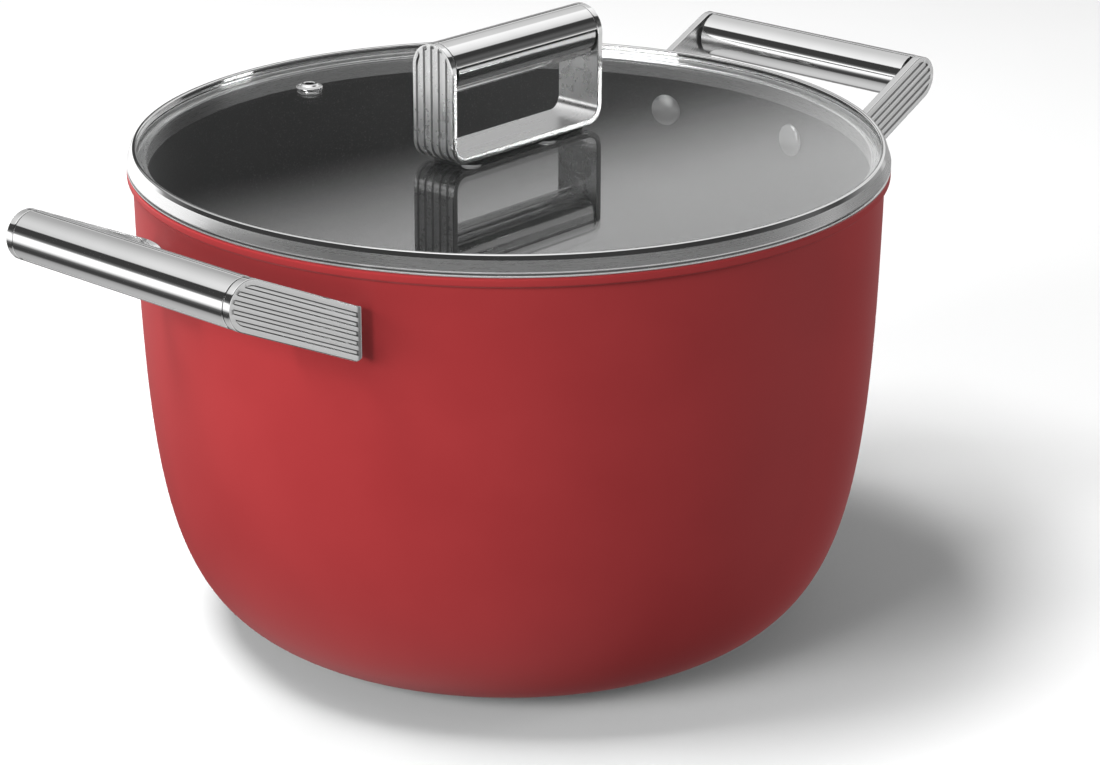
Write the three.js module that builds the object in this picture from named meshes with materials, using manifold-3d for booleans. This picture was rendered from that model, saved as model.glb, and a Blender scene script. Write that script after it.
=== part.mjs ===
// Lidded stock pot with two side handles, in millimetres, +Z up.
// The origin is the centre of the face it stands on. +X runs from one side handle to the other.
// Left and right are the handles at -X and +X; front is -Y and rear is +Y.

import * as THREE from 'three';
import { mergeVertices } from 'three/addons/utils/BufferGeometryUtils.js';
import Module from 'manifold-3d';

const wasm = await Module();
wasm.setup();

// ---------------------------------------------------------------- driving dimensions

const GAP = 0.3;                  // clearance kept between touching pieces
const OVERLAP = 1;                // how far a cutter passes the face that it opens
const TURNED_STEPS = 60;          // facets round the pot and the lid
const SMALL_STEPS = 20;           // facets round rivets, screws and the steam vent

// pot body
const FOOT_RADIUS = 76;           // where the curved side leaves the flat underside
const UNDERSIDE_Z = 1.5;
const SIDE_TOP_RADIUS = 134;
const SIDE_TOP_Z = 168;
const SIDE_LOWER_PULL = 51.7;     // how far the curve runs outward before it turns up
const SIDE_UPPER_PULL = { r: 132.55, z: 52.7 };
const WALL = 4;
const FLOOR = 5.5;
const SIDE_STEPS = 10;
const LIP_RADIUS = 136;
const LIP_LOW_Z = 169.8;
const LIP_TOP_Z = 172.8;
const LIP_ROUND = 0.5;
const LIP_CURL = { r: 0.3, z: 0.9 };      // the neck under the lip, from the top of the side
const LIP_BEVEL = { r: 0.6, z: 0.4 };
const MOUTH_RADIUS = 130.2;

// induction base, let into the underside
const BASE_RADIUS = 74;
const BASE_THICK = 2.7;
const BASE_RING_RADII = [30, 60];
const BASE_RING_WIDTH = 2;
const BASE_RING_DEPTH = 0.6;

// lid
const GLASS_RADIUS = 133.4;
const GLASS_LOW_Z = 174;
const GLASS_THICK = 3.6;
const GLASS_TOP_Z = GLASS_LOW_Z + GLASS_THICK;
const GLASS_BEVEL = 0.5;
const RIM_BEAD_Z = 180.2;
const RIM_BEAD_INSIDE = 132.4;
const RIM_BEAD_OUTSIDE = 133.9;   // where the bead's outer slope meets its top
const RIM_BEAD_EASE = 0.4;
const RIM_BAND = { leanZ: 176.2, topZ: 178.7, lean: 1.3 };    // upright, then leaning in to its top
const RIM_CREASE = { depth: 0.7, height: 0.7 };   // between the flange's edge and the band
const RIM_SHEET = 0.6;            // sheet under the glass and in the skirt
const RIM_SKIRT_LOW_Z = 167;
const RIM_SKIRT_RADIUS = 129.6;
const VENT_X = 3;
const VENT_Y = 105;
const VENT_HOLE = 1.9;
const VENT_BARREL = 3.1;
const VENT_FLANGE = 5;
const VENT_FLANGE_THICK = 0.5;
const VENT_COLLAR = 1.4;          // height of the eyelet's collar over the glass
const VENT_ROLL = 0.7;            // height of the rolled edge under the glass
const VENT_EASE = 0.4;

// knob on the lid
const KNOB_HALF_LENGTH = 39.5;
const KNOB_HALF_WIDTH = 9.5;
const KNOB_SHEET = 2.4;
const KNOB_CORNER = 7;            // outside radius of the strap's two bends
const KNOB_AXIS_Z = 212;          // axis of the bar that is gripped
const KNOB_SEAM = 10;             // degrees from the horizontal to the shell's edge
const GASKET_THICK = 0.6;
const GASKET_HALF_LENGTH = 32;
const GASKET_HALF_WIDTH = 8.4;
const GASKET_CORNER = 3;
const SCREW_X = 20;
const SCREW_RADIUS = 1.5;
const SCREW_HEAD_RADIUS = 3.6;
const SCREW_HEAD_HEIGHT = 2.2;
const SCREW_SLOT = 1;
const SCREW_SLOT_DEPTH = 1;
const SCREW_CROWN = { share: 0.7, rise: 0.2, edge: 1 };
const THREAD_END_DEPTH = 0.4;     // solid metal left in the strap over a post's hole
const BOSS_RADIUS = 3.2;
const WASHER_RADIUS = 6.5;
const WASHER_THICK = 0.9;

// side handles
const HANDLE_X = 177.6;           // axis of the bar that is gripped
const HANDLE_Z = 174.7;
const HANDLE_RADIUS = 8.7;
const HANDLE_HALF_WIDTH = 53.2;   // to the outer faces of the two arms
const HANDLE_TILT = THREE.MathUtils.degToRad(25);
const HANDLE_SEAM = 20;           // degrees from the arm's square-on line to the shell's edge
const ARM_THICK = 3;
const ARM_BEND = 5.7;             // outside radius of the bend at the pot
const ARM_WALL_RADIUS = 134.1;    // face of the foot that lies on the pot
const FOOT_END_Y = 22;
const GRIP_WALL = 3;              // thickness of the grip's shell and insert
const CORE_WALL = 1.9;
const INSERT_END_GAP = 1.3;       // open gap between a grip's insert and the arm

// ribs on the outer faces of the arms and of the knob's strap
const RIB_BORDER = 1.5;
const RIB_GROOVES = 5;
const RIB_DEPTH = 0.6;

// rivets
const RIVET_Y = 32;
const RIVET_Z = 154.5;
const RIVET_RADIUS = 3;
const RIVET_INNER_HEAD = { radius: 6, height: 2.3 };
const RIVET_OUTER_HEAD = { radius: 4.8, height: 1.8 };
const RIVET_DOME = [[1, 0.35], [0.85, 0.7], [0.5, 0.95], [0, 1]];   // shares of radius and height
const RIVET_SEAT_INSET = 1.1;     // from the mouth's radius in to the inner head

// ---------------------------------------------------------------- finishes

const RED = { color: 0xac3c40, roughness: 0.55, metalness: 0 };
const SATIN_STEEL = { color: 0xc4c4c2, roughness: 0.34, metalness: 0.95 };
const POLISHED_STEEL = { color: 0xdcdcda, roughness: 0.1, metalness: 1 };
const BASE_STEEL = { color: 0xb4b4b2, roughness: 0.4, metalness: 0.95 };
const GLASS = { color: 0xc8d0d0, roughness: 0.04, metalness: 0, transparent: true, opacity: 0.35 };
const SILICONE = { color: 0x222224, roughness: 0.8, metalness: 0 };

// ---------------------------------------------------------------- tools for solids

function solidOf(geometry) {
  const bare = geometry.clone();
  bare.deleteAttribute('normal');
  bare.deleteAttribute('uv');
  const merged = mergeVertices(bare, 1e-4);
  const corners = merged.getIndex().array;
  const kept = [];
  for (let i = 0; i < corners.length; i += 3) {
    const [a, b, c] = corners.slice(i, i + 3);
    if (a !== b && b !== c && c !== a) kept.push(a, b, c);
  }
  return new wasm.Manifold(new wasm.Mesh({
    numProp: 3,
    vertProperties: new Float32Array(merged.getAttribute('position').array),
    triVerts: new Uint32Array(kept),
  }));
}

function geometryOf(solid) {
  const mesh = solid.getMesh();
  const geometry = new THREE.BufferGeometry();
  geometry.setAttribute('position', new THREE.BufferAttribute(mesh.vertProperties, 3));
  geometry.setIndex(new THREE.BufferAttribute(mesh.triVerts, 1));
  geometry.computeVertexNormals();
  return geometry;
}

function subtractAll(body, cutters) {
  return cutters.reduce((left, cutter) => left.subtract(cutter), body);
}

function points(...pairs) {
  return pairs.map(([a, b]) => new THREE.Vector2(a, b));
}

// points on a circle from one angle to another, in degrees
function arc(centre, radius, from, to, steps) {
  const list = [];
  for (let i = 0; i <= steps; i += 1) {
    const angle = THREE.MathUtils.degToRad(from + (to - from) * i / steps);
    list.push(new THREE.Vector2(
      centre.x + radius * Math.cos(angle),
      centre.y + radius * Math.sin(angle),
    ));
  }
  return list;
}

// a closed outline of (radius, height) turned about the Z axis
function turned(outline, steps = TURNED_STEPS) {
  const loop = THREE.ShapeUtils.isClockWise(outline) ? [...outline].reverse() : [...outline];
  const geometry = new THREE.LatheGeometry([...loop, loop[0]], steps);
  geometry.rotateX(Math.PI / 2);
  return solidOf(geometry);
}

// an outline in the XY plane, raised from one height to another
function upright(outline, low, high) {
  const shape = new THREE.Shape(outline);
  const geometry = new THREE.ExtrudeGeometry(shape, { depth: high - low, bevelEnabled: false });
  geometry.translate(0, 0, low);
  return solidOf(geometry);
}

// an outline of (x, z), pushed along Y from one place to another
function alongY(outline, from, to) {
  const shape = new THREE.Shape(outline);
  const geometry = new THREE.ExtrudeGeometry(shape, { depth: to - from, bevelEnabled: false });
  geometry.rotateX(Math.PI / 2);
  geometry.translate(0, to, 0);
  return solidOf(geometry);
}

// an outline of (y, z), pushed along X from one place to another
function alongX(outline, from, to) {
  const shape = new THREE.Shape(outline);
  const geometry = new THREE.ExtrudeGeometry(shape, { depth: to - from, bevelEnabled: false });
  geometry.rotateX(Math.PI / 2);
  geometry.rotateZ(Math.PI / 2);
  geometry.translate(from, 0, 0);
  return solidOf(geometry);
}

function block(size, centre) {
  const geometry = new THREE.BoxGeometry(...size);
  geometry.translate(...centre);
  return solidOf(geometry);
}

function upDrill(x, y, radius, low, high) {
  const outline = arc(new THREE.Vector2(x, y), radius, 0, 360 - 360 / SMALL_STEPS, SMALL_STEPS - 1);
  return upright(outline, low, high);
}

function piece(name, solid, finish) {
  const mesh = new THREE.Mesh(geometryOf(solid), new THREE.MeshStandardMaterial(finish));
  mesh.name = name;
  return mesh;
}

// ---------------------------------------------------------------- pot body and base

function sideCurve() {
  return new THREE.CubicBezierCurve(
    new THREE.Vector2(FOOT_RADIUS, UNDERSIDE_Z),
    new THREE.Vector2(FOOT_RADIUS + SIDE_LOWER_PULL, UNDERSIDE_Z),
    new THREE.Vector2(SIDE_UPPER_PULL.r, SIDE_UPPER_PULL.z),
    new THREE.Vector2(SIDE_TOP_RADIUS, SIDE_TOP_Z),
  );
}

// the inside follows the outside, a floor's thickness in at the foot and a wall's at the top
function innerSide() {
  const curve = sideCurve();
  const list = [];
  for (let i = SIDE_STEPS; i >= 0; i -= 1) {
    const along = i / SIDE_STEPS;
    const tangent = curve.getTangent(along);
    const thick = THREE.MathUtils.lerp(FLOOR, WALL, along);
    const outer = curve.getPoint(along);
    list.push(new THREE.Vector2(outer.x - thick * tangent.y, outer.y + thick * tangent.x));
  }
  return list;
}

function lip() {
  return points(
    [SIDE_TOP_RADIUS + LIP_CURL.r, SIDE_TOP_Z + LIP_CURL.z],
    [LIP_RADIUS - LIP_BEVEL.r, LIP_LOW_Z - LIP_BEVEL.z],
    [LIP_RADIUS, LIP_LOW_Z],
    [LIP_RADIUS, LIP_TOP_Z - LIP_ROUND],
    [LIP_RADIUS - LIP_ROUND, LIP_TOP_Z],
    [MOUTH_RADIUS + 2 * LIP_ROUND, LIP_TOP_Z],
    [MOUTH_RADIUS, LIP_TOP_Z - 2 * LIP_ROUND],
  );
}

function rivetAngle(side) {
  return side * Math.asin(RIVET_Y / SIDE_TOP_RADIUS);
}

// a round bar along a rivet's axis, for the holes that the rivet passes
function rivetHole(angle) {
  const steps = SMALL_STEPS;
  const geometry = new THREE.CylinderGeometry(RIVET_RADIUS + GAP, RIVET_RADIUS + GAP, 30, steps);
  geometry.rotateZ(Math.PI / 2);
  geometry.translate(SIDE_TOP_RADIUS, 0, RIVET_Z);
  geometry.rotateZ(angle);
  return solidOf(geometry);
}

function potBody() {
  const recess = BASE_RADIUS + GAP;
  const recessTop = BASE_THICK + GAP;
  const outline = [
    ...points([0, recessTop], [recess, recessTop], [recess, UNDERSIDE_Z]),
    ...sideCurve().getPoints(SIDE_STEPS),
    ...lip(),
    ...innerSide(),
    new THREE.Vector2(0, UNDERSIDE_Z + FLOOR),
  ];
  const angles = [1, -1].map(rivetAngle);
  const holes = [...angles, ...angles.map((angle) => angle + Math.PI)].map(rivetHole);
  return subtractAll(turned(outline), holes);
}

function inductionBase() {
  const disc = turned(points([0, 0], [BASE_RADIUS, 0], [BASE_RADIUS, BASE_THICK], [0, BASE_THICK]));
  const rings = BASE_RING_RADII.map((radius) => turned(points(
    [radius - BASE_RING_WIDTH / 2, -OVERLAP],
    [radius + BASE_RING_WIDTH / 2, -OVERLAP],
    [radius + BASE_RING_WIDTH / 2, BASE_RING_DEPTH],
    [radius - BASE_RING_WIDTH / 2, BASE_RING_DEPTH],
  )));
  return subtractAll(disc, rings);
}

// ---------------------------------------------------------------- ribs

// the middles of the grooves across a strip, from its centre line
function grooveCentres(halfWidth) {
  const pitch = 2 * grooveWidth(halfWidth);
  const middle = (RIB_GROOVES - 1) / 2;
  return Array.from({ length: RIB_GROOVES }, (_, i) => (i - middle) * pitch);
}

// grooves and the ridges between them are equally wide
function grooveWidth(halfWidth) {
  return 2 * (halfWidth - RIB_BORDER) / (2 * RIB_GROOVES - 1);
}

// ---------------------------------------------------------------- a bar made of shell, insert and core

const SECTOR_FACET = 15;          // degrees

// part of a ring seen along the bar, from one angle to another in degrees
function ringSector(radius, wall, from, to) {
  const centre = new THREE.Vector2();
  const steps = Math.ceil((to - from) / SECTOR_FACET);
  return [
    ...arc(centre, radius, from, to, steps),
    ...arc(centre, radius - wall, to, from, steps),
  ];
}

// the bar's pieces, along Y about the origin; the shell is centred on `facing`, in degrees from +X to +Z
function bar({ radius, halfLength, facing, shellSpan }) {
  const slack = THREE.MathUtils.radToDeg(GAP / radius);
  const shellHalf = shellSpan / 2;
  const insertHalf = 180 - shellHalf - slack;
  const away = facing + 180;
  const shell = ringSector(radius, GRIP_WALL, facing - shellHalf, facing + shellHalf);
  const insert = ringSector(radius, GRIP_WALL, away - insertHalf, away + insertHalf);
  const coreRadius = radius - GRIP_WALL - GAP;
  const centre = new THREE.Vector2();
  const last = 360 - 360 / SMALL_STEPS;
  const coreOutside = arc(centre, coreRadius, 0, last, SMALL_STEPS - 1);
  const coreInside = arc(centre, coreRadius - CORE_WALL, 0, last, SMALL_STEPS - 1);
  const end = halfLength - GAP;
  const insertEnd = halfLength - INSERT_END_GAP;
  return {
    shell: alongY(shell, -end, end),
    insert: alongY(insert, -insertEnd, insertEnd),
    core: alongY(coreOutside, -end, end).subtract(alongY(coreInside, -end - OVERLAP, end + OVERLAP)),
  };
}

// ---------------------------------------------------------------- side handles

// unit vector down the arm, from the bar towards the pot, in (x, z)
const ARM_DOWN = new THREE.Vector2(-Math.cos(HANDLE_TILT), -Math.sin(HANDLE_TILT));
const ARM_ACROSS = new THREE.Vector2(ARM_DOWN.y, -ARM_DOWN.x);
const BAR_CENTRE = new THREE.Vector2(HANDLE_X, HANDLE_Z);

// middle of the bend at the pot: it touches the arm's outer face and lies against the wall
const BEND_CENTRE = new THREE.Vector2(
  Math.sqrt((ARM_WALL_RADIUS + ARM_BEND) ** 2 - (HANDLE_HALF_WIDTH - ARM_BEND) ** 2),
  HANDLE_HALF_WIDTH - ARM_BEND,
);

// a strip of the arm in (x, z): round about the bar, and cut upright where the bend begins
function armStrip(halfWidth, endX) {
  const edgeEnd = (side) => {
    const start = BAR_CENTRE.clone().addScaledVector(ARM_ACROSS, side * halfWidth);
    return start.addScaledVector(ARM_DOWN, (start.x - endX) / -ARM_DOWN.x);
  };
  const acrossAngle = THREE.MathUtils.radToDeg(ARM_ACROSS.angle());
  return [
    edgeEnd(-1),
    ...arc(BAR_CENTRE, halfWidth, acrossAngle - 180, acrossAngle, 12),
    edgeEnd(1),
  ];
}

// plan of the bend and of the foot that lies on the wall, for the arm at +Y or -Y
function footPlan(side) {
  const origin = new THREE.Vector2();
  const bendAngle = THREE.MathUtils.radToDeg(BEND_CENTRE.angle());
  const backRadius = ARM_WALL_RADIUS + ARM_THICK;
  const endAngle = THREE.MathUtils.radToDeg(Math.asin(FOOT_END_Y / backRadius));
  const overlapX = BEND_CENTRE.x + OVERLAP;
  const outline = [
    new THREE.Vector2(overlapX, HANDLE_HALF_WIDTH),
    ...arc(BEND_CENTRE, ARM_BEND, 90, 180 + bendAngle, 8),
    ...arc(origin, ARM_WALL_RADIUS, bendAngle, endAngle, 6).slice(1),
    ...arc(origin, backRadius, endAngle, bendAngle, 6),
    ...arc(BEND_CENTRE, ARM_BEND - ARM_THICK, 180 + bendAngle, 90, 8).slice(1),
    new THREE.Vector2(overlapX, HANDLE_HALF_WIDTH - ARM_THICK),
  ];
  return outline.map((point) => new THREE.Vector2(point.x, side * point.y));
}

function armGrooves(side) {
  const inner = HANDLE_RADIUS - RIB_BORDER;
  const outerFace = side * HANDLE_HALF_WIDTH;
  const faces = [outerFace - side * RIB_DEPTH, outerFace + side * OVERLAP];
  const field = alongY(armStrip(inner, BEND_CENTRE.x - OVERLAP), Math.min(...faces), Math.max(...faces));
  return grooveCentres(HANDLE_RADIUS).map((offset) => {
    const length = 2 * HANDLE_X;
    const geometry = new THREE.BoxGeometry(length, 4, grooveWidth(HANDLE_RADIUS));
    geometry.translate(0, outerFace, offset);
    geometry.rotateY(-HANDLE_TILT);
    geometry.translate(HANDLE_X, 0, HANDLE_Z);
    return solidOf(geometry).intersect(field);
  });
}

function arm(side) {
  const faces = [side * HANDLE_HALF_WIDTH, side * (HANDLE_HALF_WIDTH - ARM_THICK)];
  const outline = armStrip(HANDLE_RADIUS, BEND_CENTRE.x);
  const strip = alongY(outline, Math.min(...faces), Math.max(...faces));
  const low = outline[0].y;
  const high = outline[outline.length - 1].y;
  const foot = upright(footPlan(side), Math.min(low, high), Math.max(low, high));
  const blank = strip.add(foot).subtract(rivetHole(rivetAngle(side)));
  return subtractAll(blank, armGrooves(side));
}

// the rivet's outline lies along the pot's radius
function rivet(side) {
  const wallInside = MOUTH_RADIUS - RIVET_SEAT_INSET;
  const outerSeat = ARM_WALL_RADIUS + ARM_THICK + 2 * GAP;
  const dome = (seat, head, direction) => points(...RIVET_DOME.map(([share, rise]) => (
    [share * head.radius, seat + direction * rise * head.height]
  )));
  const outline = [
    ...dome(wallInside, RIVET_INNER_HEAD, -1).reverse(),
    ...points(
      [RIVET_INNER_HEAD.radius, wallInside],
      [RIVET_RADIUS, wallInside],
      [RIVET_RADIUS, outerSeat],
      [RIVET_OUTER_HEAD.radius, outerSeat],
    ),
    ...dome(outerSeat, RIVET_OUTER_HEAD, 1),
  ];
  const solid = turned(outline, SMALL_STEPS);
  const geometry = geometryOf(solid);
  geometry.rotateY(Math.PI / 2);
  geometry.translate(0, 0, RIVET_Z);
  geometry.rotateZ(rivetAngle(side));
  return solidOf(geometry);
}

// one handle at +X; the other is the same handle turned half round, so its front is this one's rear
function sideHandle(name, front, rear) {
  const facing = THREE.MathUtils.radToDeg(HANDLE_TILT);
  const grip = bar({
    radius: HANDLE_RADIUS,
    halfLength: HANDLE_HALF_WIDTH - ARM_THICK,
    facing,
    shellSpan: 180 - 2 * HANDLE_SEAM,
  });
  const held = new THREE.Group();
  held.position.set(HANDLE_X, 0, HANDLE_Z);
  held.add(piece(`${name}_grip_shell`, grip.shell, POLISHED_STEEL));
  held.add(piece(`${name}_grip_insert`, grip.insert, POLISHED_STEEL));
  held.add(piece(`${name}_grip_core`, grip.core, SATIN_STEEL));

  const handle = new THREE.Group();
  handle.add(held);
  handle.add(piece(`${name}_${front}_arm`, arm(-1), SATIN_STEEL));
  handle.add(piece(`${name}_${rear}_arm`, arm(1), SATIN_STEEL));
  handle.add(piece(`${name}_${front}_rivet`, rivet(-1), SATIN_STEEL));
  handle.add(piece(`${name}_${rear}_rivet`, rivet(1), SATIN_STEEL));
  return handle;
}

// ---------------------------------------------------------------- lid

function lidGlass() {
  const disc = turned(points(
    [0, GLASS_LOW_Z],
    [GLASS_RADIUS - GLASS_BEVEL, GLASS_LOW_Z],
    [GLASS_RADIUS, GLASS_LOW_Z + GLASS_BEVEL],
    [GLASS_RADIUS, GLASS_TOP_Z - GLASS_BEVEL],
    [GLASS_RADIUS - GLASS_BEVEL, GLASS_TOP_Z],
    [0, GLASS_TOP_Z],
  ));
  const below = GLASS_LOW_Z - OVERLAP;
  const above = GLASS_TOP_Z + OVERLAP;
  return subtractAll(disc, [
    upDrill(VENT_X, VENT_Y, VENT_BARREL + GAP, below, above),
    upDrill(SCREW_X, 0, BOSS_RADIUS + GAP, below, above),
    upDrill(-SCREW_X, 0, BOSS_RADIUS + GAP, below, above),
  ]);
}

// one rolled section: a flange and skirt under the glass, a band round its edge and a bead over it
function lidRim() {
  const flangeTop = GLASS_LOW_Z - GAP;
  const flangeLow = flangeTop - RIM_SHEET;
  const overGlass = GLASS_TOP_Z + GAP;
  const slot = GLASS_RADIUS + GAP;
  const skirtInside = RIM_SKIRT_RADIUS - RIM_SHEET;
  return turned(points(
    [RIM_SKIRT_RADIUS, flangeLow],
    [LIP_RADIUS, flangeLow],
    [LIP_RADIUS, flangeTop],
    [LIP_RADIUS - RIM_CREASE.depth, flangeTop],
    [LIP_RADIUS - RIM_CREASE.depth, flangeTop + RIM_CREASE.height],
    [LIP_RADIUS, flangeTop + RIM_CREASE.height],
    [LIP_RADIUS, RIM_BAND.leanZ],
    [LIP_RADIUS - RIM_BAND.lean, RIM_BAND.topZ],
    [RIM_BEAD_OUTSIDE, RIM_BEAD_Z - RIM_BEAD_EASE],
    [RIM_BEAD_OUTSIDE - RIM_BEAD_EASE, RIM_BEAD_Z],
    [RIM_BEAD_INSIDE + RIM_BEAD_EASE, RIM_BEAD_Z],
    [RIM_BEAD_INSIDE, RIM_BEAD_Z - RIM_BEAD_EASE],
    [RIM_BEAD_INSIDE, overGlass],
    [slot, overGlass],
    [slot, flangeTop],
    [skirtInside, flangeTop],
    [skirtInside, RIM_SKIRT_LOW_Z],
    [RIM_SKIRT_RADIUS, RIM_SKIRT_LOW_Z],
  ));
}

// an eyelet: a flange over the glass, a barrel through it and a rolled edge below
function ventEyelet() {
  const seat = GLASS_TOP_Z + GAP;
  const under = GLASS_LOW_Z - GAP;
  return turned(points(
    [VENT_HOLE, under - VENT_ROLL],
    [VENT_FLANGE - VENT_EASE, under - VENT_ROLL],
    [VENT_FLANGE - VENT_EASE, under],
    [VENT_BARREL, under],
    [VENT_BARREL, seat],
    [VENT_FLANGE, seat],
    [VENT_FLANGE, seat + VENT_FLANGE_THICK],
    [VENT_BARREL + VENT_EASE, seat + VENT_FLANGE_THICK + VENT_EASE],
    [VENT_BARREL, seat + VENT_COLLAR],
    [VENT_HOLE, seat + VENT_COLLAR],
  ), SMALL_STEPS);
}

// ---------------------------------------------------------------- knob

const GASKET_LOW_Z = GLASS_TOP_Z + GAP;
const STRAP_LOW_Z = GASKET_LOW_Z + GASKET_THICK + GAP;

// a U bent from sheet, in (x, z): `inset` moves its outline in from the outer faces
function strapOutline(inset) {
  const half = KNOB_HALF_LENGTH - inset;
  const corner = KNOB_CORNER - inset;
  const low = STRAP_LOW_Z + inset;
  const top = KNOB_AXIS_Z + KNOB_HALF_WIDTH + OVERLAP;
  const bendX = KNOB_HALF_LENGTH - KNOB_CORNER;
  const bendZ = STRAP_LOW_Z + KNOB_CORNER;
  return [
    new THREE.Vector2(-half, top),
    ...arc(new THREE.Vector2(-bendX, bendZ), corner, 180, 270, 6),
    ...arc(new THREE.Vector2(bendX, bendZ), corner, 270, 360, 6),
    new THREE.Vector2(half, top),
  ].map((point) => new THREE.Vector2(point.x, Math.max(point.y, low)));
}

// the strap seen along X: straight sides, and a round top about the bar
function strapEnd(halfWidth) {
  const centre = new THREE.Vector2(0, KNOB_AXIS_Z);
  return [
    new THREE.Vector2(halfWidth, STRAP_LOW_Z - OVERLAP),
    ...arc(centre, halfWidth, 0, 180, 12),
    new THREE.Vector2(-halfWidth, STRAP_LOW_Z - OVERLAP),
  ];
}

// grooves down the arms and round the bends, which end where the flat base begins
function strapGrooves() {
  const reach = KNOB_HALF_LENGTH + OVERLAP;
  const width = grooveWidth(KNOB_HALF_WIDTH);
  const field = alongX(strapEnd(KNOB_HALF_WIDTH - RIB_BORDER), -reach, reach);
  const bendX = KNOB_HALF_LENGTH - KNOB_CORNER;
  const flatBase = block([2 * bendX, 4 * KNOB_HALF_WIDTH, 4], [0, 0, STRAP_LOW_Z]);
  const keep = solidOutline(strapOutline(RIB_DEPTH));
  return grooveCentres(KNOB_HALF_WIDTH).map((offset) => {
    const slab = block([2 * reach, width, 100], [0, offset, KNOB_AXIS_Z]);
    return slab.intersect(field).subtract(keep).subtract(flatBase);
  });
}

// everything inside a strap outline, wider than the strap
function solidOutline(outline) {
  return alongY(outline, -KNOB_HALF_WIDTH - OVERLAP, KNOB_HALF_WIDTH + OVERLAP);
}

function knobStrap() {
  const sheet = solidOutline(strapOutline(0)).subtract(solidOutline(strapOutline(KNOB_SHEET)));
  const reach = KNOB_HALF_LENGTH + OVERLAP;
  const strap = subtractAll(
    sheet.intersect(alongX(strapEnd(KNOB_HALF_WIDTH), -reach, reach)),
    strapGrooves(),
  );
  const bossLow = GLASS_LOW_Z + GAP;
  const threadTop = STRAP_LOW_Z - THREAD_END_DEPTH;
  const bosses = [-SCREW_X, SCREW_X].map((x) => {
    const post = upDrill(x, 0, BOSS_RADIUS, bossLow, STRAP_LOW_Z + OVERLAP);
    return post.subtract(upDrill(x, 0, SCREW_RADIUS + GAP, bossLow - OVERLAP, threadTop));
  });
  return bosses.reduce((whole, boss) => whole.add(boss), strap);
}

function knobGasket() {
  const x = GASKET_HALF_LENGTH - GASKET_CORNER;
  const y = GASKET_HALF_WIDTH - GASKET_CORNER;
  const outline = [
    ...arc(new THREE.Vector2(x, y), GASKET_CORNER, 0, 90, 4),
    ...arc(new THREE.Vector2(-x, y), GASKET_CORNER, 90, 180, 4),
    ...arc(new THREE.Vector2(-x, -y), GASKET_CORNER, 180, 270, 4),
    ...arc(new THREE.Vector2(x, -y), GASKET_CORNER, 270, 360, 4),
  ];
  const pad = upright(outline, GASKET_LOW_Z, GASKET_LOW_Z + GASKET_THICK);
  return subtractAll(pad, [-SCREW_X, SCREW_X].map((screwX) => (
    upDrill(screwX, 0, BOSS_RADIUS + GAP, GLASS_TOP_Z, STRAP_LOW_Z)
  )));
}

const WASHER_TOP_Z = GLASS_LOW_Z - GAP;
const SCREW_SEAT_Z = WASHER_TOP_Z - WASHER_THICK - GAP;

function screwWasher() {
  const low = WASHER_TOP_Z - WASHER_THICK;
  return turned(points(
    [SCREW_RADIUS + GAP, low],
    [WASHER_RADIUS, low],
    [WASHER_RADIUS, WASHER_TOP_Z],
    [SCREW_RADIUS + GAP, WASHER_TOP_Z],
  ), SMALL_STEPS);
}

function knobScrew() {
  const headLow = SCREW_SEAT_Z - SCREW_HEAD_HEIGHT;
  const body = turned(points(
    [0, headLow],
    [SCREW_HEAD_RADIUS * SCREW_CROWN.share, headLow + SCREW_CROWN.rise],
    [SCREW_HEAD_RADIUS, headLow + SCREW_CROWN.edge],
    [SCREW_HEAD_RADIUS, SCREW_SEAT_Z],
    [SCREW_RADIUS, SCREW_SEAT_Z],
    [SCREW_RADIUS, GLASS_TOP_Z - GAP],
    [0, GLASS_TOP_Z - GAP],
  ), SMALL_STEPS);
  const slotLength = 1.2 * SCREW_HEAD_RADIUS;
  const slots = [[slotLength, SCREW_SLOT], [SCREW_SLOT, slotLength]];
  return subtractAll(body, slots.map(([x, y]) => block([x, y, 2 * SCREW_SLOT_DEPTH], [0, 0, headLow])));
}

// the bar runs along Y as it is made, so it is turned to lie along X
function knobBar() {
  const grip = bar({
    radius: KNOB_HALF_WIDTH,
    halfLength: KNOB_HALF_LENGTH - KNOB_SHEET,
    facing: 90,
    shellSpan: 180 - 2 * KNOB_SEAM,
  });
  const held = new THREE.Group();
  held.position.z = KNOB_AXIS_Z;
  held.rotation.z = Math.PI / 2;
  held.add(piece('knob_grip_shell', grip.shell, POLISHED_STEEL));
  held.add(piece('knob_grip_insert', grip.insert, POLISHED_STEEL));
  held.add(piece('knob_grip_core', grip.core, SATIN_STEEL));
  return held;
}

function knobFixing(name, x) {
  const fixing = new THREE.Group();
  fixing.position.x = x;
  fixing.add(piece(`knob_${name}_washer`, screwWasher(), SILICONE));
  fixing.add(piece(`knob_${name}_screw`, knobScrew(), SATIN_STEEL));
  return fixing;
}

// ---------------------------------------------------------------- assembly

function lid() {
  const vent = piece('vent_eyelet', ventEyelet(), POLISHED_STEEL);
  vent.position.set(VENT_X, VENT_Y, 0);
  const group = new THREE.Group();
  group.add(piece('lid_glass', lidGlass(), GLASS));
  group.add(piece('lid_rim', lidRim(), SATIN_STEEL));
  group.add(vent);
  group.add(piece('knob_strap', knobStrap(), SATIN_STEEL));
  group.add(piece('knob_gasket', knobGasket(), SILICONE));
  group.add(knobBar());
  group.add(knobFixing('left', -SCREW_X));
  group.add(knobFixing('right', SCREW_X));
  return group;
}

function pot() {
  const left = sideHandle('left', 'rear', 'front');
  left.rotation.z = Math.PI;
  const group = new THREE.Group();
  group.add(piece('pot_body', potBody(), RED));
  group.add(piece('induction_base', inductionBase(), BASE_STEEL));
  group.add(sideHandle('right', 'front', 'rear'));
  group.add(left);
  return group;
}

const stockPot = new THREE.Group();
stockPot.add(pot());
stockPot.add(lid());

export default stockPot;
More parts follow.
